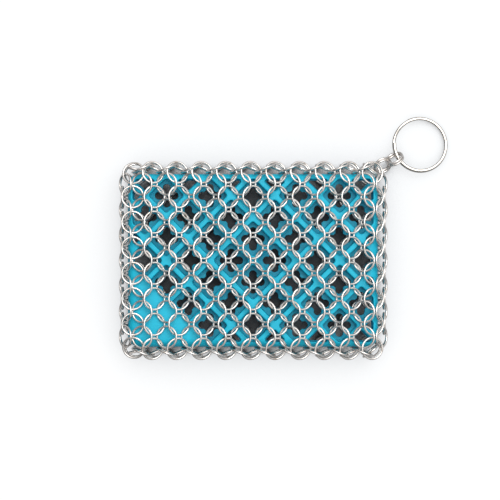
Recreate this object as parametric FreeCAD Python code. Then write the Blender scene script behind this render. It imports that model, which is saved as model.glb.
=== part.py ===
import FreeCAD, Part
import math
import os

Vector = FreeCAD.Vector

# Pot scrubber: a moulded silicone block inside a closed bag of steel mail,
# with two doubled links and a split ring at one corner.
# Millimetres and degrees. X runs along the pad, Y across it, Z up; the origin
# lies on the table under the middle of the pad.

# Silicone core
core_length = 110.2
core_width = 76.2
core_thickness = 12.1
core_corner_radius = 5.0
core_edge_radius = 4.0
rim_width = 2.2
lattice_half_pitch = 9.52
rib_width = 2.2
web_thickness = 3.0
cell_corner_radius = 1.1
smallest_cell_area = 12.0
lobed_cell_share = 0.9
web_hole_radius = 3.0
lobe_radius = 1.75
lobe_offset = 3.45
web_ledge = 0.6
plain_corner_diagonal = 7

# Mail rings
ring_diameter = 10.35
ring_wire = 0.95
core_clearance = 0.13
mail_lean = 23.0

# Weave proportions, in mean ring radii, with tilts, turns and headings in degrees
column_step = 1.1468
row_step = 1.1866
core_past_last_column = 1.402
core_past_last_row = 0.987
side_edge = dict(shoulder_out=1.088, shoulder_drop=0.123, shoulder_tilt=25.8,
                 shoulder_turn=-60.2, shoulder_shift=-0.158,
                 flank_out=1.473, flank_share=0.711, flank_tilt=89.8, flank_turn=21.4,
                 middle_out=1.477, middle_turn=-21.3)
right_edge = dict(shoulder_out=0.9275, shoulder_drop=0.137, shoulder_tilt=25.0,
                  flank_out=1.703, flank_share=0.594, flank_tilt=57.4, middle_out=1.993)
left_edge = dict(shoulder_out=0.8815, shoulder_drop=0.1645, shoulder_tilt=-1.9,
                 flank_out=1.602, flank_share=0.6495, flank_tilt=55.2, middle_out=1.936)
right_corner = dict(shoulder_along=0.7865, shoulder_out=1.046, shoulder_drop=0.131,
                    shoulder_tilt=18.2, shoulder_heading=6.8,
                    middle_along=0.853, middle_out=1.321, middle_heading=50.2)
left_corner = dict(shoulder_along=0.8205, shoulder_out=1.0145, shoulder_drop=0.405,
                   shoulder_tilt=19.5, shoulder_heading=56.0,
                   middle_along=0.692, middle_out=1.427, middle_heading=103.3)

# Hanging links, each a pair of rings side by side
link_diameter = 8.6
link_wire = 1.0
link_pair_spacing = 1.16
inner_link_offset = Vector(5.68, 3.86, 1.6)
inner_link_heading = -62.8
inner_link_rise = 39.1
outer_link_offset = Vector(10.87, 6.7, 2.08)
outer_link_heading = -60.6
outer_link_rise = -31.3

# Split ring, a flattened wire wound two turns
split_ring_diameter = 25.2
split_wire_width = 1.4
split_wire_height = 1.1
split_wire_round = 0.4
split_turn_spacing = 1.65
split_ring_heading = 29.4
split_ring_reach = 1.62
split_ring_raise = 3.4
split_ring_floor_gap = 0.05
split_step_start = 177.0
split_step_sweep = 60.0

# Values that follow from the sizes above
ring_radius = (ring_diameter - ring_wire) / 2
half_column = column_step * ring_radius
half_row = row_step * ring_radius
sheet_half = ring_radius * math.sin(math.radians(mail_lean)) + ring_wire / 2
mail_height = core_thickness / 2 + core_clearance + sheet_half
EAST = Vector(1, 0, 0)
NORTH = Vector(0, 1, 0)
UP = Vector(0, 0, 1)


def edge_rows(shoulder_out, shoulder_drop, shoulder_tilt, flank_out, flank_share, flank_tilt, middle_out,
              shoulder_turn=0.0, shoulder_shift=0.0, flank_turn=0.0, middle_turn=0.0):
    """The upper three rows round an edge: out, height, tilt, turn and shift along it of each."""
    shoulder_height = mail_height - shoulder_drop * ring_radius
    along = shoulder_shift * ring_radius
    shoulder = (shoulder_out * ring_radius, shoulder_height, shoulder_tilt, shoulder_turn, along)
    flank = (flank_out * ring_radius, flank_share * shoulder_height, flank_tilt, flank_turn, 0.0)
    middle = (middle_out * ring_radius, 0.0, 90.0, middle_turn, 0.0)
    return [shoulder, flank, middle]


side_rows = edge_rows(**side_edge)
end_columns = {"right": edge_rows(**right_edge), "left": edge_rows(**left_edge)}


def crest(rows):
    """How far the highest ring of an edge stands above mid-thickness."""
    tops = [height + ring_radius * abs(math.sin(math.radians(tilt))) for out, height, tilt, *rest in rows]
    return max(tops) + ring_wire / 2


pad_edges = [side_rows, *end_columns.values()]
middle_height = max([mail_height + sheet_half] + [crest(rows) for rows in pad_edges])


def steps_to_cover(length, step, parity):
    """Fewest steps of the given parity that reach at least the length."""
    count = math.ceil(length / step - 0.01)
    if count % 2 != parity:
        count += 1
    return count


last_column = steps_to_cover(core_length / 2 - core_past_last_column * ring_radius, half_column, 1)
last_row = steps_to_cover(core_width / 2 - core_past_last_row * ring_radius, half_row, 0)
flat_half_length = last_column * half_column
flat_half_width = last_row * half_row


def plan_direction(heading):
    angle = math.radians(heading)
    return Vector(math.cos(angle), math.sin(angle), 0)


def tilted_axis(heading, tilt):
    """Axis that leans from straight up towards a heading."""
    angle = math.radians(tilt)
    return plan_direction(heading) * math.sin(angle) + UP * math.cos(angle)


def export(name, solids):
    shape = solids[0] if len(solids) == 1 else Part.makeCompound(solids)
    shape.exportStep(os.path.join("parts", name + ".step"))


# Silicone core: a rounded block, pocketed from both faces around a middle web


def rounded_block(length, width, height, corner, bottom):
    block = Part.makeBox(length, width, height, Vector(-length / 2, -width / 2, bottom))
    upright = [e for e in block.Edges if abs(e.Vertexes[0].Z - e.Vertexes[1].Z) > height / 2]
    return block.makeFillet(corner, upright)


def diamond_cell(x, y):
    """Square cell standing on its corner, less half a rib on each side."""
    reach = lattice_half_pitch - rib_width / math.sqrt(2)
    corners = [Vector(x, y, 0) + plan_direction(quarter * 90.0) * reach for quarter in range(4)]
    return Part.Face(Part.makePolygon(corners + corners[:1]))


def lattice_cells():
    """Centres of the open cells, which lie between the crossings of the ribs."""
    across = math.ceil(core_length / 2 / lattice_half_pitch)
    up = math.ceil(core_width / 2 / lattice_half_pitch)
    for i in range(-across, across + 1):
        for j in range(-up, up + 1):
            if (i + j) % 2 and -i - j < plain_corner_diagonal:
                yield i * lattice_half_pitch, j * lattice_half_pitch


def rounded(face):
    """Round the corners of a face by drawing it in and letting it out again."""
    return face.makeOffset2D(-cell_corner_radius).makeOffset2D(cell_corner_radius)


def raised(face, level, height):
    block = face.extrude(UP * height)
    block.translate(UP * level)
    return block


def web_hole():
    """Four-lobed hole through the web, its lobes towards the corners of the cell."""
    lobes = [plan_direction(quarter * 90.0) * lobe_offset for quarter in range(4)]
    tools = [Part.makeCylinder(lobe_radius, core_thickness, lobe) for lobe in lobes]
    return Part.makeCylinder(web_hole_radius, core_thickness).fuse(tools).removeSplitter()


def silicone_core():
    bottom = middle_height - core_thickness / 2
    pocket_depth = (core_thickness - web_thickness) / 2
    block = rounded_block(core_length, core_width, core_thickness, core_corner_radius, bottom)
    flats = [f for f in block.Faces if abs(f.normalAt(0, 0).z) > 0.5]
    block = block.makeFillet(core_edge_radius, [e for f in flats for e in f.Edges])
    inside = rounded_block(core_length - 2 * rim_width, core_width - 2 * rim_width, 1,
                           core_corner_radius - rim_width, 0)
    field = [f for f in inside.Faces if f.normalAt(0, 0).z < -0.5][0]
    lobed_hole = web_hole()
    pockets = []
    holes = []
    for x, y in lattice_cells():
        cell = diamond_cell(x, y)
        clipped = cell.common(field)
        if clipped.Area < smallest_cell_area:
            continue
        opening = rounded(clipped.Faces[0])
        for level in (bottom, bottom + core_thickness - pocket_depth):
            pockets.append(raised(opening, level, pocket_depth))
        hole = raised(opening.makeOffset2D(-web_ledge), bottom, core_thickness)
        if clipped.Area > lobed_cell_share * cell.Area:
            hole = hole.common(lobed_hole.translated(Vector(x, y, bottom)))
        holes.append(hole)
    return block.cut(Part.makeCompound(pockets)).cut(Part.makeCompound(holes))


# Mail rings: a place is a ring's centre and its axis


def ring_place(x, y, heading, out, height, tilt, turn=0.0):
    """Ring beyond (x, y) towards a heading, height measured from mid-thickness."""
    centre = Vector(x, y, middle_height + height) + plan_direction(heading) * out
    return centre, tilted_axis(heading + turn, tilt)


def mirrored(place, normal):
    """The same ring on the other side of a mid-plane of the pad."""
    centre, axis = place
    across = (centre - UP * middle_height).dot(normal)
    return centre - normal * (2 * across), axis - normal * (2 * axis.dot(normal))


def ring_solid(place):
    centre, axis = place
    return Part.makeTorus(ring_radius, ring_wire / 2, centre, axis)


def every_second(last):
    """Places along a row, in half steps: every second one from -last to last."""
    return range(-last, last + 1, 2)


def end_ring(end, column, row):
    out, height, tilt, turn, shift = end_columns[end][column]
    x, heading = (flat_half_length, 0.0) if end == "right" else (-flat_half_length, 180.0)
    return ring_place(x, row * half_row + shift, heading, out, height, tilt, turn)


def face_row(row):
    """One row of the top face; rows of the longer kind reach over both ends."""
    longer = row % 2 == 1
    columns = every_second(last_column - 1 if longer else last_column)
    lean = mail_lean if longer else -mail_lean
    places = [ring_place(c * half_column, row * half_row, 0.0, 0.0, mail_height, lean) for c in columns]
    if longer:
        places += [end_ring(end, 0, row) for end in end_columns]
    return places


def corner_rings(shoulder_along, shoulder_out, shoulder_drop, shoulder_tilt, shoulder_heading,
                 middle_along, middle_out, middle_heading):
    """Last rings of the shoulder and middle rows, turned part of the way round a back right corner."""
    height = mail_height - shoulder_drop * ring_radius
    x = flat_half_length + shoulder_along * ring_radius
    y = flat_half_width + shoulder_out * ring_radius
    shoulder = ring_place(x, y, shoulder_heading, 0.0, height, shoulder_tilt)
    x = flat_half_length + middle_along * ring_radius
    y = flat_half_width + middle_out * ring_radius
    middle = ring_place(x, y, middle_heading, 0.0, 0.0, 90.0)
    return {0: shoulder, 2: middle}


right_corner_rings = corner_rings(**right_corner)
left_corner_rings = corner_rings(**left_corner)


def side_row(index):
    """One row of the back side; the longer ones end in the corner rings."""
    longer = index % 2 == 0
    out, height, tilt, turn, shift = side_rows[index]
    columns = every_second(last_column - 1 if longer else last_column)
    y = flat_half_width
    places = [ring_place(c * half_column + shift, y, 90.0, out, height, tilt, turn) for c in columns]
    if longer:
        places += [right_corner_rings[index], mirrored(left_corner_rings[index], EAST)]
    return places


def end_column(end, column):
    rows = every_second(last_row - 1 if column == 2 else last_row)
    return [end_ring(end, column, row) for row in rows]


def mail_rows():
    """Every row of the mail by name."""
    named = {}
    for number, row in enumerate(range(-last_row, last_row + 1), start=1):
        named["top_mail_row_%02d" % number] = face_row(row)
        named["bottom_mail_row_%02d" % number] = [mirrored(place, UP) for place in face_row(row)]
    upper_rows = [side_row(index) for index in range(3)]
    lower_rows = [[mirrored(place, UP) for place in row] for row in (upper_rows[1], upper_rows[0])]
    for number, row in enumerate(upper_rows + lower_rows, start=1):
        named["back_side_mail_row_%d" % number] = row
        named["front_side_mail_row_%d" % number] = [mirrored(place, NORTH) for place in row]
    for end in end_columns:
        flank = end_column(end, 1)
        named["%s_end_mail_column_1" % end] = flank
        named["%s_end_mail_column_2" % end] = end_column(end, 2)
        named["%s_end_mail_column_3" % end] = [mirrored(place, UP) for place in flank]
    return named


# Hanging links, placed from the lower corner ring that carries them

carrier_centre = mirrored(right_corner_rings[0], UP)[0]


def link_pair(offset, heading, rise):
    """Two rings side by side on one axis."""
    axis = tilted_axis(heading, 90.0 - rise)
    middle = carrier_centre + offset
    radius = (link_diameter - link_wire) / 2
    spread = axis * (link_pair_spacing / 2)
    return [Part.makeTorus(radius, link_wire / 2, middle + spread * side, axis) for side in (-1, 1)]


# Split ring: a flat lower turn, a step up and a flat upper turn, one unbroken wire

split_radius = (split_ring_diameter - split_wire_width) / 2


def split_point(angle, height):
    return plan_direction(angle) * split_radius + UP * height


def split_tangent(angle):
    return plan_direction(angle - 90.0)


def flat_arc(start, sweep, height):
    middle = split_point(start - sweep / 2, height)
    return Part.Arc(split_point(start, height), middle, split_point(start - sweep, height))


def arc_middle(start, tangent, end):
    """Middle of the arc that leaves a point along a tangent and ends at another."""
    chord = end - start
    across = chord - tangent * chord.dot(tangent)
    across.normalize()
    radius = chord.dot(chord) / (2 * chord.dot(across))
    centre = start + across * radius
    outward = start + chord * 0.5 - centre
    outward.normalize()
    return centre + outward * radius


def step_arcs():
    """Two arcs that climb from the lower turn to the upper one and touch both."""
    half = split_turn_spacing / 2
    start = split_point(split_step_start, -half)
    end = split_point(split_step_start - split_step_sweep, half)
    leave = split_tangent(split_step_start)
    arrive = split_tangent(split_step_start - split_step_sweep)
    chord = end - start
    both = leave + arrive
    a = both.dot(both) - 4
    b = -2 * chord.dot(both)
    reach = (-b - math.sqrt(b * b - 4 * a * chord.dot(chord))) / (2 * a)
    meet = (start + leave * reach + end - arrive * reach) * 0.5
    return [Part.Arc(start, arc_middle(start, leave, meet), meet),
            Part.Arc(meet, arc_middle(end, arrive * -1, meet), end)]


def split_path():
    half = split_turn_spacing / 2
    begin = split_step_start - split_step_sweep
    quarter = (360.0 - split_step_sweep) / 4
    lower = [flat_arc(begin - n * quarter, quarter, -half) for n in range(4)]
    upper = [flat_arc(begin - n * quarter, quarter, half) for n in range(4)]
    return [arc.toShape() for arc in lower + step_arcs() + upper]


def split_section():
    """Flattened round wire at the start of the path, wider than it is high."""
    angle = split_step_start - split_step_sweep
    outward = plan_direction(angle) * (split_wire_width / 2)
    upward = UP * (split_wire_height / 2)
    start = split_point(angle, -split_turn_spacing / 2)
    corners = [start + outward * u + upward * v for u, v in ((1, 1), (-1, 1), (-1, -1), (1, -1))]
    face = Part.Face(Part.makePolygon(corners + corners[:1]))
    return face.makeOffset2D(-split_wire_round).makeOffset2D(split_wire_round)


def split_gap(edges):
    """Least gap of the wire to itself, from points along its middle."""
    points = [p for edge in edges for p in edge.discretize(Number=40)]
    apart = len(points) // 4
    nearest = min((p - q).Length for i, p in enumerate(points) for q in points[i + apart:])
    return nearest - split_wire_height


def split_ring():
    """The split ring on the table, tilted up where the outer link passes under it."""
    edges = split_path()
    section = split_section()
    path = Part.Wire(edges)
    ring = path.makePipeShell([section.OuterWire], True, False)
    print("split ring volume", round(ring.Volume, 2), "of", round(section.Area * path.Length, 2))
    print("split ring least gap to itself", round(split_gap(edges), 3))
    tilt = math.asin(split_ring_raise / (2 * split_radius))
    half_height = (split_turn_spacing + split_wire_height) / 2
    height = split_ring_diameter / 2 * math.sin(tilt) + half_height * math.cos(tilt) + split_ring_floor_gap
    away = plan_direction(split_ring_heading) * (split_ring_reach + split_radius * math.cos(tilt))
    link_middle = carrier_centre + outer_link_offset
    ring.rotate(Vector(0, 0, 0), plan_direction(split_ring_heading + 90.0), math.degrees(tilt))
    ring.translate(Vector(link_middle.x, link_middle.y, height) + away)
    return ring


os.makedirs("parts", exist_ok=True)
export("silicone_core", [silicone_core()])
for row_name, places in mail_rows().items():
    export(row_name, [ring_solid(place) for place in places])
inner_pair = link_pair(inner_link_offset, inner_link_heading, inner_link_rise)
outer_pair = link_pair(outer_link_offset, outer_link_heading, outer_link_rise)
export("inner_link_a", inner_pair[:1])
export("inner_link_b", inner_pair[1:])
export("outer_link_a", outer_pair[:1])
export("outer_link_b", outer_pair[1:])
export("split_ring", [split_ring()])
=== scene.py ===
import math
import random

import bpy
import numpy as np
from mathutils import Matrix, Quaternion, Vector
from mathutils.geometry import delaunay_2d_cdt


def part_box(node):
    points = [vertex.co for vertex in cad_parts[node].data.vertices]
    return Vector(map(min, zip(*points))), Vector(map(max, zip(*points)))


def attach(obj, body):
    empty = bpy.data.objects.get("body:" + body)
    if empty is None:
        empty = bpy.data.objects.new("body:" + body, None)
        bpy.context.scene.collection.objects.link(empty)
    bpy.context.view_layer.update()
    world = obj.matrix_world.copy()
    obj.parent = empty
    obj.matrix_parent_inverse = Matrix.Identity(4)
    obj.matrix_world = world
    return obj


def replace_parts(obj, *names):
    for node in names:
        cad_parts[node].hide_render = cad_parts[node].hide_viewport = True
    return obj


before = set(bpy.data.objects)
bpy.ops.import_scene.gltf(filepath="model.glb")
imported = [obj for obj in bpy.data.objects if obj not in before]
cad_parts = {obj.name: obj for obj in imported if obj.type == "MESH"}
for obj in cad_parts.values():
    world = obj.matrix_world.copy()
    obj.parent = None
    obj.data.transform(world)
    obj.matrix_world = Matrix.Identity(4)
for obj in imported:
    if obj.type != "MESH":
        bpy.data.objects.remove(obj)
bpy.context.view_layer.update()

# Photo table: a white sweep under one broad soft lamp.
# The pad lies flat on it and is seen from straight above, a little off the middle of the picture.

MM = 0.001
PICTURE_PIXELS = 500
PIXELS_PER_MM_AT_TABLE = 2.23
CAMERA_HEIGHT = 767 * MM
CAMERA_PLACE = (-1.3 * MM, 4.6 * MM)
SENSOR = 36.0


def linear(code):
    """An sRGB hex colour as the linear colour that a shader takes."""
    parts = [int(code[i:i + 2], 16) / 255 for i in (1, 3, 5)]
    return [*(p / 12.92 if p <= 0.04045 else ((p + 0.055) / 1.055) ** 2.4 for p in parts), 1.0]


def add(tree, kind, inputs=None, **settings):
    """A node with its settings; an input is a value, or the socket that it is linked from."""
    made = tree.nodes.new(kind)
    for name, value in settings.items():
        setattr(made, name, value)
    for name, value in (inputs or {}).items():
        socket = made.inputs[name]
        if isinstance(value, bpy.types.NodeSocket):
            tree.links.new(value, socket)
        else:
            socket.default_value = value
    return made


def new_material(name):
    """An empty node material and its output."""
    material = bpy.data.materials.new(name)
    material.use_nodes = True
    tree = material.node_tree
    tree.nodes.clear()
    return material, tree, add(tree, "ShaderNodeOutputMaterial")


def new_object(name, mesh):
    made = bpy.data.objects.new(name, mesh)
    bpy.context.scene.collection.objects.link(made)
    return made


camera = bpy.data.cameras.new("camera")
camera.sensor_width = SENSOR
camera.lens = PIXELS_PER_MM_AT_TABLE / MM * CAMERA_HEIGHT * SENSOR / PICTURE_PIXELS
camera_object = new_object("camera", camera)
camera_object.location = (*CAMERA_PLACE, CAMERA_HEIGHT)
bpy.context.scene.camera = camera_object
bpy.context.scene.view_settings.view_transform = "Standard"

# Matt paper: a dark grey that glows white in the open. Near the pad the glow is dimmed by ambient
# occlusion, a painted shadow added to the lamp's real one. Where the pad covers the paper it is painted
# dark, on top of the little light that reaches there.
# What lights the paper's white is seen by the eye and in reflections, and lights nothing.
paper, tree, output = new_material("matt_white_paper")
matt = add(tree, "ShaderNodeBsdfDiffuse", {"Color": linear("#62666A")})
open_sky = add(tree, "ShaderNodeAmbientOcclusion", {"Distance": 60 * MM}, samples=8)
# Painted shadow: the glow's colour falls from white to black as the pad closes in the paper.
painted_shadow_glow = add(tree, "ShaderNodeValToRGB", {"Fac": open_sky.outputs["AO"]})
painted_shadow_glow.color_ramp.elements[0].position = 0.2
painted_shadow_glow.color_ramp.elements[0].color = linear("#000000")
painted_shadow_glow.color_ramp.elements[1].position = 0.95
painted_shadow_glow.color_ramp.elements[1].color = linear("#FFFFFF")
painted_shadow_glow.color_ramp.elements.new(0.5).color = linear("#E8E9EA")
path = add(tree, "ShaderNodeLightPath")
looked_at = add(tree, "ShaderNodeMath",
                {0: path.outputs["Is Camera Ray"], 1: path.outputs["Is Transmission Ray"]},
                operation="MAXIMUM")
direct = add(tree, "ShaderNodeMath", {0: looked_at.outputs[0], 1: 0.9}, operation="MULTIPLY")
strength = add(tree, "ShaderNodeMath",
               {0: path.outputs["Is Glossy Ray"], 1: 0.4, 2: direct.outputs[0]},
               operation="MULTIPLY_ADD")
white = add(tree, "ShaderNodeEmission",
            {"Color": painted_shadow_glow.outputs["Color"], "Strength": strength.outputs[0]})
both = add(tree, "ShaderNodeAddShader", {0: matt.outputs[0], 1: white.outputs[0]})
tree.links.new(both.outputs[0], output.inputs["Surface"])
TABLE_HALF = 1.5
table_mesh = bpy.data.meshes.new("table")
table_mesh.from_pydata([(-TABLE_HALF, -TABLE_HALF, 0), (TABLE_HALF, -TABLE_HALF, 0),
                        (TABLE_HALF, TABLE_HALF, 0), (-TABLE_HALF, TABLE_HALF, 0)], [], [(0, 1, 2, 3)])
table_mesh.materials.append(paper)
table = new_object("table", table_mesh)

# Studio: dark below, grey walls and a white ceiling, which the metal reflects, and one broad lamp.
# The eye sees white in place of the walls, as it does of the paper.
world = bpy.data.worlds.new("studio")
bpy.context.scene.world = world
world.use_nodes = True
tree = world.node_tree
tree.nodes.clear()
direction = add(tree, "ShaderNodeTexCoord")
height = add(tree, "ShaderNodeVectorMath", {0: direction.outputs["Generated"], 1: (0.25, 0.3, 0.92)},
             operation="DOT_PRODUCT")
walls = add(tree, "ShaderNodeValToRGB", {"Fac": height.outputs["Value"]})
walls.color_ramp.elements[0].position = 0.22
walls.color_ramp.elements[0].color = linear("#2A2A2C")
walls.color_ramp.elements[1].position = 0.86
walls.color_ramp.elements[1].color = linear("#FFFEFC")
walls.color_ramp.elements.new(0.54).color = linear("#CDCCCA")
path = add(tree, "ShaderNodeLightPath")
backdrop = add(tree, "ShaderNodeMix",
               {"Factor": path.outputs["Is Camera Ray"], "A": walls.outputs["Color"],
                "B": linear("#FFFFFF")},
               data_type="RGBA")
sky = add(tree, "ShaderNodeBackground", {"Color": backdrop.outputs["Result"], "Strength": 1.05})
add(tree, "ShaderNodeOutputWorld", {"Surface": sky.outputs[0]})

lamp = bpy.data.lights.new("soft_lamp", "AREA")
lamp.shape = "DISK"
lamp.size = 0.72
lamp.energy = 5.6
lamp.color = linear("#FFFBF7")[:3]
lamp_object = new_object("soft_lamp", lamp)
lamp_object.location = (0.2, 0.33, 0.93)
lamp_object.rotation_euler = (-Vector(lamp_object.location)).to_track_quat("-Z", "Y").to_euler()

# Silicone core: one moulded block of soft silicone, with a slanting lattice of ribs and a solid corner.
# Both faces are pocketed down to a middle web. Each cell has a hole in it, plain where the rim cuts the
# cell short and four-lobed elsewhere. The block lies loose inside the bag of rings.

LOW, HIGH = (np.array(corner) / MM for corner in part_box("silicone_core"))
CORE_HALF = (HIGH - LOW) / 2
CORE_MIDDLE = (HIGH + LOW) / 2
CORNER_RADIUS = 5.0
EDGE_RADIUS = 4.0
RIM = 2.2
HALF_PITCH = 9.52
RIB = 2.2
WEB = 3.0
CELL_ROUND = 1.1
SMALLEST_CELL = 12.0
LOBED_CELL_SHARE = 0.9
HOLE_RADIUS = 3.0
LOBE_RADIUS = 1.75
LOBE_OFFSET = 3.45
WEB_LEDGE = 0.6
SOLID_CORNER = 7
LIP_ROUND = 0.5
WEB_ROUND = 0.2
DRAFT = 0.12
WALL_BAND = 0.8 * RIM
EDGE_INSET = 1.2
WALL_INSETS = (0.75, 0.4, 0.15, 0.0)
RIM_ROWS = (1.8, 2.6, 3.3, 4.0, 4.8)
ROW_CLEARANCE = 0.35
OUTLINE_STEP = 2.5
SMALLEST_CORNER = 0.2
RAYS = 64
HALVINGS = 34


def outline_distance(points):
    """Distance outside the block's rounded outline, below zero inside it."""
    q = np.abs(points) - (CORE_HALF[:2] - CORNER_RADIUS)
    outside = np.hypot(*np.maximum(q, 0).T)
    return outside + np.minimum(q.max(axis=1), 0) - CORNER_RADIUS


def outline_normal(points):
    """Direction straight out of the block's outline."""
    steps = 1e-4 * np.eye(2)
    slope = [outline_distance(points + step) - outline_distance(points - step) for step in steps]
    slope = np.stack(slope, axis=1)
    return slope / np.hypot(*slope.T)[:, None]


def face_height(points):
    """Height of the block's rounded top face above mid-thickness."""
    inside = np.clip(EDGE_RADIUS + outline_distance(points), 0, EDGE_RADIUS)
    return CORE_HALF[2] - EDGE_RADIUS + np.sqrt(EDGE_RADIUS ** 2 - inside ** 2)


def clipped(polygon, normal, limit):
    """The part of a convex polygon on the inner side of a line."""
    kept = []
    for a, b in zip(polygon, polygon[1:] + polygon[:1]):
        da, db = np.dot(a, normal) - limit, np.dot(b, normal) - limit
        if da <= 0:
            kept.append(a)
        if da * db < 0:
            kept.append(a + (b - a) * da / (da - db))
    return kept


def cell_outline(x, y):
    """Corners of a cell: a square on its corner, cut off at the rim."""
    reach = HALF_PITCH - RIB / math.sqrt(2)
    polygon = [np.array([x, y]) + reach * np.array(step) for step in ((1, 0), (0, 1), (-1, 0), (0, -1))]
    for axis in (0, 1):
        for sign in (-1, 1):
            normal = np.eye(2)[axis] * sign
            polygon = clipped(polygon, normal, CORE_HALF[axis] - RIM)
    return polygon


def area(polygon):
    """Area of a polygon whose corners run anticlockwise."""
    return sum(a[0] * b[1] - a[1] * b[0] for a, b in zip(polygon, polygon[1:] + polygon[:1])) / 2


def drawn_in(polygon, amount):
    """A convex polygon with every side moved inwards."""
    for a, b in zip(polygon, polygon[1:] + polygon[:1]):
        normal = np.array([b[1] - a[1], a[0] - b[0]])
        normal = normal / np.hypot(*normal)
        polygon = clipped(polygon, normal, np.dot(a, normal) - amount)
    return polygon


def polygon_distance(points, polygon):
    """Distance outside a convex polygon, below zero inside it."""
    nearest = np.full(len(points), np.inf)
    inside = np.full(len(points), -np.inf)
    for a, b in zip(polygon, polygon[1:] + polygon[:1]):
        side = b - a
        along = np.clip((points - a) @ side / (side @ side), 0, 1)
        nearest = np.minimum(nearest, np.hypot(*(points - a - along[:, None] * side).T))
        normal = np.array([side[1], -side[0]]) / np.hypot(*side)
        inside = np.maximum(inside, (points - a) @ normal)
    return np.where(inside > 0, nearest, inside)


TURN = np.linspace(0, 2 * math.pi, RAYS, endpoint=False)
RAY = np.stack([np.cos(TURN), np.sin(TURN)], axis=1)


def loop_at(polygon, middle, offset):
    """Points of a rounded cell, moved outwards by an offset, one on each ray from its middle."""
    near, far = np.zeros(RAYS), np.full(RAYS, 3 * HALF_PITCH)
    for _ in range(HALVINGS):
        half = (near + far) / 2
        inside = polygon_distance(middle + RAY * half[:, None], polygon) < CELL_ROUND + offset
        near, far = np.where(inside, half, near), np.where(inside, far, half)
    return middle + RAY * near[:, None]


def lobed_reach(grow):
    """Distance from the middle of the four-lobed hole to its edge, on each ray."""
    reach = np.full(RAYS, HOLE_RADIUS + grow)
    for quarter in range(4):
        turn = TURN - quarter * math.pi / 2
        inner = (LOBE_RADIUS + grow) ** 2 - (LOBE_OFFSET * np.sin(turn)) ** 2
        lobe = LOBE_OFFSET * np.cos(turn) + np.sqrt(np.maximum(inner, 0))
        reach = np.where((inner > 0) & (np.cos(turn) > 0), np.maximum(reach, lobe), reach)
    return reach


def cell_loops(polygon, lobed_middle):
    """Loops of one cell from the lip of the top face down to mid-thickness."""
    shrunk = drawn_in(polygon, CELL_ROUND)
    middle = np.mean(shrunk, axis=0) if lobed_middle is None else lobed_middle
    loops = []
    for step in range(5):
        turn = step * math.pi / 8
        points = loop_at(shrunk, middle, LIP_ROUND * (1 - math.sin(turn)))
        loops.append((points, face_height(points) - LIP_ROUND * (1 - math.cos(turn))))
    for step in range(4):
        turn = step * math.pi / 6
        points = loop_at(shrunk, middle, -DRAFT - WEB_ROUND * (1 - math.cos(turn)))
        loops.append((points, np.full(RAYS, WEB / 2 + WEB_ROUND * (1 - math.sin(turn)))))
    for step in range(4):
        turn = step * math.pi / 6
        grow = WEB_ROUND * (1 - math.sin(turn))
        points = loop_at(shrunk, middle, grow - WEB_LEDGE)
        if lobed_middle is not None:
            reach = np.minimum(np.hypot(*(points - middle).T), lobed_reach(grow))
            points = middle + RAY * reach[:, None]
        loops.append((points, np.full(RAYS, WEB / 2 - WEB_ROUND * (1 - math.cos(turn)))))
    loops.append((loops[-1][0], np.zeros(RAYS)))
    return shrunk, loops


def outline_loop(inset):
    """Points round the block's outline, drawn in by an inset."""
    radius = max(CORNER_RADIUS - inset, SMALLEST_CORNER)
    straight = CORE_HALF[:2] - inset - radius
    points = []
    for corner in range(4):
        centre = straight * np.array([(1, 1), (-1, 1), (-1, -1), (1, -1)][corner])
        for turn in np.linspace(0, math.pi / 2, 9) + corner * math.pi / 2:
            points.append(centre + radius * np.array([math.cos(turn), math.sin(turn)]))
    spaced = []
    for a, b in zip(points, points[1:] + points[:1]):
        pieces = max(1, round(np.hypot(*(b - a)) / OUTLINE_STEP))
        spaced += [a + (b - a) * k / pieces for k in range(pieces)]
    return np.array(spaced)


class Shell:
    """Points and faces of a closed skin, gathered piece by piece."""

    def __init__(self):
        self.points = []
        self.faces = []

    def loop(self, flat, heights):
        start = len(self.points)
        self.points += [(x, y, z) for (x, y), z in zip(flat, heights)]
        return list(range(start, len(self.points)))

    def bridge(self, upper, lower, side=1):
        """Faces between two loops, turned over where they belong to the underside."""
        if side == -1:
            upper, lower = lower, upper
        for k in range(len(upper)):
            n = (k + 1) % len(upper)
            self.faces.append((upper[k], lower[k], lower[n], upper[n]))


def lattice_cells():
    """Every pocket of the lattice, as its drawn-in outline and its loops."""
    cells = []
    whole_cell = 2 * (HALF_PITCH - RIB / math.sqrt(2)) ** 2
    across, up = np.ceil(CORE_HALF[:2] / HALF_PITCH).astype(int)
    for i in range(-across, across + 1):
        for j in range(-up, up + 1):
            middle = np.array([i, j]) * HALF_PITCH
            polygon = cell_outline(*middle)
            is_cell = (i + j) % 2 and -i - j < SOLID_CORNER and len(polygon) > 2
            if is_cell and area(polygon) > SMALLEST_CELL:
                lobed = area(polygon) > LOBED_CELL_SHARE * whole_cell
                cells.append(cell_loops(polygon, middle if lobed else None))
    return cells


def add_face(shell, cells, lips, rim, side):
    """The top or bottom face, between the lips of the cells and the rim."""
    spare = np.concatenate([outline_loop(inset) for inset in RIM_ROWS])
    clear = np.full(len(spare), True)
    for polygon, _ in cells:
        clear &= polygon_distance(spare, polygon) > CELL_ROUND + LIP_ROUND + ROW_CLEARANCE
    loose = shell.loop(spare[clear], side * face_height(spare[clear]))
    used = [k for lip in lips for k in lip] + rim + loose
    place = {k: n for n, k in enumerate(used)}
    borders = []
    for loop in lips + [rim]:
        borders += [(place[a], place[b]) for a, b in zip(loop, loop[1:] + loop[:1])]
    flat = [Vector(shell.points[k][:2]) for k in used]
    corners, _, triangles, origins, *_ = delaunay_2d_cdt(flat, borders, [], 1, 1e-6)
    source = [used[origin[0]] for origin in origins]
    centres = np.array([[corners[k] for k in triangle] for triangle in triangles]).mean(axis=1)
    solid = outline_distance(centres) < -EDGE_INSET
    for polygon, _ in cells:
        solid &= polygon_distance(centres, polygon) > CELL_ROUND + LIP_ROUND
    for triangle, keep in zip(triangles, solid):
        if keep:
            shell.faces.append([source[k] for k in triangle][::side])


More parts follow.
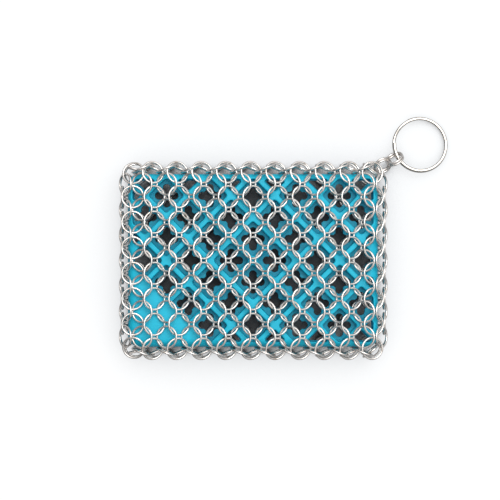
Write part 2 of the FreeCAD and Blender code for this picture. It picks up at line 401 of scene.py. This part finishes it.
def silicone_shell():
    """The whole skin of the block: both faces, pockets, holes and the outer wall."""
    shell = Shell()
    cells = lattice_cells()
    edge = outline_loop(EDGE_INSET)
    pockets, walls = {}, {}
    for side in (1, -1):
        lips = [shell.loop(loops[0][0], side * loops[0][1]) for _, loops in cells]
        pockets[side] = [[lip] for lip in lips]
        for pocket, (_, loops) in zip(pockets[side], cells):
            for points, heights in loops[1:-1]:
                pocket.append(shell.loop(points, side * heights))
            for upper, lower in zip(pocket, pocket[1:]):
                shell.bridge(upper, lower, side)
        walls[side] = shell.loop(edge, side * face_height(edge))
        add_face(shell, cells, lips, walls[side], side)
        for inset in WALL_INSETS:
            points = edge - (outline_distance(edge) + inset)[:, None] * outline_normal(edge)
            loop = shell.loop(points, side * face_height(points))
            shell.bridge(loop, walls[side], side)
            walls[side] = loop
    for (_, loops), upper, lower in zip(cells, pockets[1], pockets[-1]):
        middle = shell.loop(*loops[-1])
        shell.bridge(upper[-1], middle)
        shell.bridge(middle, lower[-1])
    shell.bridge(walls[-1], walls[1])
    return shell


shell = silicone_shell()
core_mesh = bpy.data.meshes.new("silicone_core_moulding")
core_mesh.from_pydata([tuple((np.array(p) + CORE_MIDDLE) * MM) for p in shell.points], [], shell.faces)
core_mesh.validate()
core_mesh.shade_smooth()
core_mesh.set_sharp_from_angle(angle=math.radians(50))
skin_points = np.array(shell.points)
# Painted shade: a weight growing with depth into the pockets, full at the web and nothing on the outer
# wall.
painted_shade_depth = np.clip((CORE_HALF[2] - np.abs(skin_points[:, 2])) / (CORE_HALF[2] - WEB / 2), 0, 1) ** 2
painted_shade_depth[outline_distance(skin_points[:, :2]) > -WALL_BAND] = 0
core_mesh.attributes.new("pocket", "FLOAT", "POINT").data.foreach_set("value", painted_shade_depth)

# Moulded silicone: satin, slightly see-through at thin edges, with the faint cloudiness of the mould.
# The pockets carry painted shade: the colour is darkened with depth below the face, most on the web, so
# they look deeper in colour than the ribs.
silicone, tree, output = new_material("moulded_silicone")
place = add(tree, "ShaderNodeTexCoord")
cloud = add(tree, "ShaderNodeTexNoise",
            {"Vector": place.outputs["Object"], "Scale": 1 / (9 * MM), "Detail": 3.0})
tone = add(tree, "ShaderNodeMix",
           {"Factor": cloud.outputs["Fac"], "A": linear("#18AFCE"), "B": linear("#25C4E3")},
           data_type="RGBA")
# Painted shade in the pockets: the colour is multiplied darker by that weight.
pocket = add(tree, "ShaderNodeAttribute", attribute_name="pocket")
painted_pocket_shade = add(tree, "ShaderNodeMix",
             {"Factor": pocket.outputs["Fac"], "A": tone.outputs["Result"], "B": linear("#D8DADC")},
             data_type="RGBA", blend_type="MULTIPLY")
grit = add(tree, "ShaderNodeTexNoise",
           {"Vector": place.outputs["Object"], "Scale": 1 / (0.25 * MM), "Detail": 2.0})
skin = add(tree, "ShaderNodeBump",
           {"Height": grit.outputs["Fac"], "Strength": 0.06, "Distance": 0.1 * MM})
gloss = add(tree, "ShaderNodeMapRange",
            {"Value": cloud.outputs["Fac"], "To Min": 0.42, "To Max": 0.55})
surface = add(tree, "ShaderNodeBsdfPrincipled", {
    "Base Color": painted_pocket_shade.outputs["Result"], "Roughness": gloss.outputs["Result"],
    "Normal": skin.outputs["Normal"], "IOR": 1.41, "Specular IOR Level": 0.35, "Subsurface Weight": 0.08,
    "Subsurface Radius": (0.3, 0.8, 1.0), "Subsurface Scale": 1.2 * MM})
tree.links.new(surface.outputs[0], output.inputs["Surface"])
core_mesh.materials.append(silicone)
core = new_object("silicone_core_moulding", core_mesh)
weighted = core.modifiers.new("even_shading", "WEIGHTED_NORMAL")
weighted.keep_sharp = True
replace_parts(core, "silicone_core")
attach(core, "pad")

# Mail: some four hundred rings of stainless wire, each butt welded and linked to four others.
# The bag is closed round the core, with nothing but the links to hold it.
# Every ring here lies where the frame has its own, turned at random so that the welds scatter.

WIRE_STEPS = 48
WIRE_SIDES = 10
WELD_SPREAD = 0.16
WELD_SWELL = 0.02
MAIL_NODES = sorted(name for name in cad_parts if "_mail_" in name)
scatter = random.Random(7)


def ring_places(node):
    """Middle, axis and wire sizes of every ring of a node, from its separate shells."""
    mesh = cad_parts[node].data
    points = np.empty(len(mesh.vertices) * 3)
    mesh.vertices.foreach_get("co", points)
    points = points.reshape(-1, 3)
    edges = np.empty(len(mesh.edges) * 2, dtype=int)
    mesh.edges.foreach_get("vertices", edges)
    a, b = edges.reshape(-1, 2).T
    shell = np.arange(len(points))
    while True:
        lowest = np.minimum(shell[a], shell[b])
        spread = shell.copy()
        np.minimum.at(spread, a, lowest)
        np.minimum.at(spread, b, lowest)
        spread = spread[spread]
        if (spread == shell).all():
            break
        shell = spread
    places = []
    for first in np.unique(shell):
        cloud = np.unique(np.round(points[shell == first], 7), axis=0)
        middle = cloud.mean(axis=0)
        offset = cloud - middle
        axis = np.linalg.svd(offset, full_matrices=False)[2][2]
        from_axis = np.linalg.norm(offset - np.outer(offset @ axis, axis), axis=1)
        places.append((Vector(middle), Vector(axis), (from_axis.max() + from_axis.min()) / 2,
                       (from_axis.max() - from_axis.min()) / 2))
    return places


def welded_ring(shell, weld, middle, axis, radius, wire):
    """One ring of round wire with a slight swell and a dark tint at its butt weld."""
    start = axis.orthogonal().normalized()
    start.rotate(Quaternion(axis, scatter.uniform(0, 2 * math.pi)))
    across = axis.cross(start)
    loops = []
    for step in range(WIRE_STEPS):
        turn = 2 * math.pi * step / WIRE_STEPS
        outward = start * math.cos(turn) + across * math.sin(turn)
        near_weld = math.exp(-(min(turn, 2 * math.pi - turn) / WELD_SPREAD) ** 2)
        thick = wire * (1 - WELD_SWELL + WELD_SWELL * near_weld)
        loop = []
        for side in range(WIRE_SIDES):
            round_wire = 2 * math.pi * side / WIRE_SIDES
            loop.append(len(shell.points))
            shell.points.append(middle + outward * (radius + thick * math.cos(round_wire))
                                + axis * (thick * math.sin(round_wire)))
            weld.append(near_weld)
        loops.append(loop)
    for loop, following in zip(loops, loops[1:] + loops[:1]):
        shell.bridge(loop, following)


def ring_row(name, node, material):
    """All rings of one frame node as one piece, in the node's place."""
    shell, weld = Shell(), []
    for middle, axis, radius, wire in ring_places(node):
        welded_ring(shell, weld, middle, axis, radius, wire)
    mesh = bpy.data.meshes.new(name)
    mesh.from_pydata(shell.points, [], shell.faces)
    mesh.shade_smooth()
    mesh.attributes.new("weld", "FLOAT", "POINT").data.foreach_set("value", weld)
    mesh.materials.append(material)
    row = new_object(name, mesh)
    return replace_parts(row, node)


# Tumbled stainless wire: bright and a little soft, with fine draw marks and a straw tint at each weld
stainless, tree, output = new_material("tumbled_stainless_wire")
place = add(tree, "ShaderNodeTexCoord")
wear = add(tree, "ShaderNodeTexNoise",
           {"Vector": place.outputs["Object"], "Scale": 1 / (1.6 * MM), "Detail": 4.0})
weld = add(tree, "ShaderNodeAttribute", attribute_name="weld")
clean = add(tree, "ShaderNodeMix",
            {"Factor": wear.outputs["Fac"], "A": linear("#E1DCD9"), "B": linear("#F4F0ED")},
            data_type="RGBA")
burn = add(tree, "ShaderNodeMath", {0: weld.outputs["Fac"], 1: 0.5}, operation="MULTIPLY")
colour = add(tree, "ShaderNodeMix",
             {"Factor": burn.outputs[0], "A": clean.outputs["Result"], "B": linear("#9A8770")},
             data_type="RGBA")
gloss = add(tree, "ShaderNodeMapRange",
            {"Value": wear.outputs["Fac"], "To Min": 0.26, "To Max": 0.39})
marks = add(tree, "ShaderNodeTexNoise",
            {"Vector": place.outputs["Object"], "Scale": 1 / (0.12 * MM), "Detail": 2.0})
draw = add(tree, "ShaderNodeBump",
           {"Height": marks.outputs["Fac"], "Strength": 0.1, "Distance": 0.05 * MM})
surface = add(tree, "ShaderNodeBsdfPrincipled", {
    "Base Color": colour.outputs["Result"], "Metallic": 1.0, "Roughness": gloss.outputs["Result"],
    "Normal": draw.outputs["Normal"]})
tree.links.new(surface.outputs[0], output.inputs["Surface"])
for node in MAIL_NODES:
    row = ring_row(node + "_rings", node, stainless)
    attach(row, "pad")

# Hanging links: two pairs of welded stainless rings, smaller than the mail's and of slightly heavier wire.
# The inner pair goes through a corner ring of the bag, and the outer pair through the inner one.

for link, body in (("inner_link_a", "inner_link"), ("inner_link_b", "inner_link"),
                   ("outer_link_a", "outer_link"), ("outer_link_b", "outer_link")):
    ring = ring_row(link + "_ring", link, stainless)
    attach(ring, body)

# Split ring: one flattened spring wire wound two turns, with a step where the turns change places.
# It is cut to length, hardened and nickel plated, and hangs from the outer links.

SPLIT_MIDDLE = Vector((74.75, 51.655, 3.21))
SPLIT_RADIUS = 11.88
SPLIT_WIRE = (1.4, 1.1)
SPLIT_ROUND = 0.54
TURN_SPACING = 1.65
TURN_INSET = 0.4
STEP_START, STEP_SWEEP = 177.0, 60.0
SPLIT_TILT = 8.2
TILT_HEADING = 119.4
END_ROUND = 0.25
END_TAPER = ((0, 0.72), (0.3, 0.9), (1, 1.0))
END_CLEAR = 2.0
STATION_STEP = 3.0


def wire_outline():
    """Outline of the flattened wire: a rectangle with well rounded corners."""
    outline = []
    for corner, (u, v) in enumerate(((1, 1), (-1, 1), (-1, -1), (1, -1))):
        for step in range(5):
            turn = math.radians(90 * corner + 22.5 * step)
            outline.append((u * (SPLIT_WIRE[0] / 2 - SPLIT_ROUND) + SPLIT_ROUND * math.cos(turn),
                            v * (SPLIT_WIRE[1] / 2 - SPLIT_ROUND) + SPLIT_ROUND * math.sin(turn)))
    return outline


def climb(along):
    """How far the wire has gone over from the lower turn to the upper, for degrees along it."""
    share = min(max((along - (360 - STEP_SWEEP)) / STEP_SWEEP, 0), 1)
    return share * share * (3 - 2 * share)


def split_ring_shell():
    """The wire's outline carried round both turns, a little smaller at its two cut ends."""
    shell = Shell()
    outline = wire_outline()
    length = 2 * (360 - STEP_SWEEP) + STEP_SWEEP
    end_angle = math.degrees(END_ROUND / SPLIT_RADIUS)
    stations = [(end_angle * share, scale) for share, scale in END_TAPER]
    stations += [(along, 1.0) for along in np.arange(STATION_STEP, length - END_CLEAR, STATION_STEP)]
    stations += [(length - a, scale) for a, scale in reversed(stations[:len(END_TAPER)])]
    lean = Quaternion((math.cos(math.radians(TILT_HEADING)), math.sin(math.radians(TILT_HEADING)), 0),
                      math.radians(SPLIT_TILT))
    loops = []
    for along, scale in stations:
        turn = math.radians(STEP_START - STEP_SWEEP - along)
        outward = Vector((math.cos(turn), math.sin(turn), 0))
        far_side = 0.5 + 0.5 * math.cos(turn - math.radians(TILT_HEADING - 90))
        radius = SPLIT_RADIUS - TURN_INSET * climb(along) * far_side
        height = TURN_SPACING * (climb(along) - 0.5)
        loop = []
        for u, v in outline:
            point = outward * (radius + u * scale) + Vector((0, 0, height + v * scale))
            loop.append(len(shell.points))
            shell.points.append((lean @ point + SPLIT_MIDDLE) * MM)
        loops.append(loop)
    for loop, following in zip(loops, loops[1:]):
        shell.bridge(loop, following)
    shell.faces.append(loops[0])
    shell.faces.append(loops[-1][::-1])
    return shell


# Bright nickel plate: a near mirror with faint rolling marks along the wire
nickel, tree, output = new_material("bright_nickel_plate")
place = add(tree, "ShaderNodeTexCoord")
stain = add(tree, "ShaderNodeTexNoise",
            {"Vector": place.outputs["Object"], "Scale": 1 / (4 * MM), "Detail": 3.0})
colour = add(tree, "ShaderNodeMix",
             {"Factor": stain.outputs["Fac"], "A": linear("#BFBBB5"), "B": linear("#D6D2CC")},
             data_type="RGBA")
gloss = add(tree, "ShaderNodeMapRange",
            {"Value": stain.outputs["Fac"], "To Min": 0.1, "To Max": 0.2})
marks = add(tree, "ShaderNodeTexNoise",
            {"Vector": place.outputs["Object"], "Scale": 1 / (0.3 * MM), "Detail": 2.0})
rolled = add(tree, "ShaderNodeBump",
             {"Height": marks.outputs["Fac"], "Strength": 0.025, "Distance": 0.05 * MM})
surface = add(tree, "ShaderNodeBsdfPrincipled", {
    "Base Color": colour.outputs["Result"], "Metallic": 1.0, "Roughness": gloss.outputs["Result"],
    "Normal": rolled.outputs["Normal"]})
tree.links.new(surface.outputs[0], output.inputs["Surface"])

shell = split_ring_shell()
mesh = bpy.data.meshes.new("split_ring_wire")
mesh.from_pydata(shell.points, [], shell.faces)
mesh.shade_smooth()
mesh.materials.append(nickel)
split_ring = new_object("split_ring_wire", mesh)
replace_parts(split_ring, "split_ring")
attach(split_ring, "split_ring")
